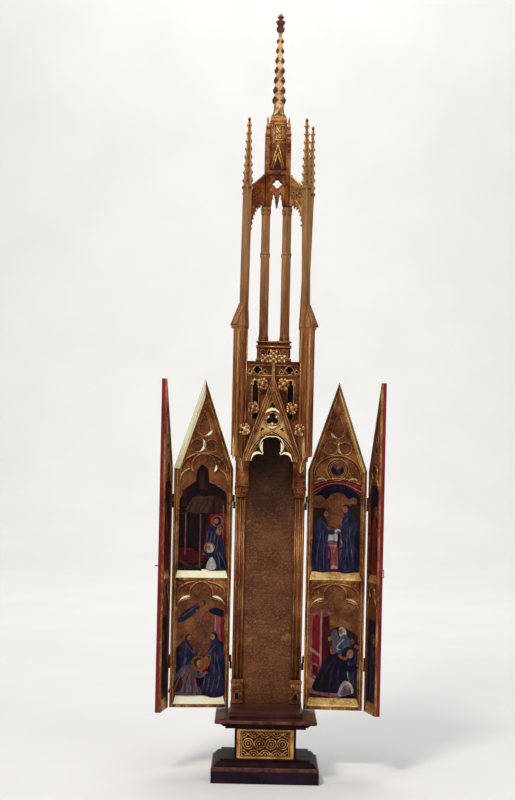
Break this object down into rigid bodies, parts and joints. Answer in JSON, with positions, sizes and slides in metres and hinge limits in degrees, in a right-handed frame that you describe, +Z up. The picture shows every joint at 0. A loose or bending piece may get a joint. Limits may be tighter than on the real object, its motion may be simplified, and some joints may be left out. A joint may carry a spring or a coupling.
{
  "type": "tower altarpiece",
  "caption": "Gilded wooden tower altarpiece, standing open: moulded base, empty statue place under a gabled canopy, pierced turret with spire, and hinged painted wings.",
  "frame": {"origin": "middle of the plinth's underside", "axes": "+Z up along the tower, +X to the viewer's right, +Y to the back; the statue place opens towards -Y"},
  "size_m": [0.4115, 0.15, 1.3732],
  "materials": {
    "gilding": "worn gold leaf over red bole on carved wood, semi-gloss",
    "panel_gilding": "dull, darkened gold leaf with combed dashes on a wooden panel",
    "dark_paint": "near-black brown paint on moulded wood, satin",
    "red_paint": "dull dark red paint on thin wooden boards",
    "iron": "dark forged iron"
  },
  "bodies": {
    "tower": {"plinth": "dark_paint", "die": "dark_paint", "die_front_panel": "gilding", "cornice": "dark_paint", "floor_slab": "dark_paint", "back_panel": "panel_gilding", "colonnette_left": "gilding", "colonnette_right": "gilding", "gable_front": "gilding", "gable_left": "gilding", "gable_right": "gilding", "canopy_wall_front": "gilding", "canopy_wall_left": "gilding", "canopy_wall_right": "gilding", "canopy_deck": "gilding", "corner_post_front_left": "gilding", "corner_post_front_right": "gilding", "corner_post_back_left": "gilding", "corner_post_back_right": "gilding", "turret_base": "gilding", "turret_post_front_left": "gilding", "turret_post_front_right": "gilding", "turret_post_back_left": "gilding", "turret_post_back_right": "gilding", "flyer_front_left": "gilding", "flyer_front_right": "gilding", "flyer_back_left": "gilding", "flyer_back_right": "gilding", "turret_head": "gilding", "lantern": "gilding", "spire": "gilding", "left_inner_lower_hinge_fixed": "iron", "left_inner_upper_hinge_fixed": "iron", "right_inner_lower_hinge_fixed": "iron", "right_inner_upper_hinge_fixed": "iron"},
    "inner_wing_left": {"inner_wing_board_left": "red_paint", "inner_wing_frame_left": "gilding", "left_inner_lower_hinge_moving": "iron", "left_inner_upper_hinge_moving": "iron", "left_outer_lower_hinge_fixed": "iron", "left_outer_upper_hinge_fixed": "iron"},
    "outer_wing_left": {"outer_wing_board_left": "red_paint", "outer_wing_frame_left": "gilding", "left_outer_lower_hinge_moving": "iron", "left_outer_upper_hinge_moving": "iron", "wing_eye": "iron"},
    "inner_wing_right": {"inner_wing_board_right": "red_paint", "inner_wing_frame_right": "gilding", "right_inner_lower_hinge_moving": "iron", "right_inner_upper_hinge_moving": "iron", "right_outer_lower_hinge_fixed": "iron", "right_outer_upper_hinge_fixed": "iron"},
    "outer_wing_right": {"outer_wing_board_right": "red_paint", "outer_wing_frame_right": "gilding", "right_outer_lower_hinge_moving": "iron", "right_outer_upper_hinge_moving": "iron", "wing_hook": "iron"}
  },
  "joints": [
    {"name": "inner_wing_hinge_left", "type": "hinge", "parent": "tower", "child": "inner_wing_left", "pos_m": [-0.066, 0.05, 0.335], "axis": [0, 0, 1], "range_deg": [-6.5, 83.5]},
    {"name": "inner_wing_hinge_right", "type": "hinge", "parent": "tower", "child": "inner_wing_right", "pos_m": [0.066, 0.05, 0.335], "axis": [0, 0, -1], "range_deg": [-3, 87]},
    {"name": "outer_wing_hinge_left", "type": "hinge", "parent": "inner_wing_left", "child": "outer_wing_left", "pos_m": [-0.17728, 0.03732, 0.335], "axis": [0, 0, 1], "range_deg": [-73.8, 16.2]},
    {"name": "outer_wing_hinge_right", "type": "hinge", "parent": "inner_wing_right", "child": "outer_wing_right", "pos_m": [0.17785, 0.04414, 0.335], "axis": [0, 0, -1], "range_deg": [-72.5, 17.5]}
  ]
}
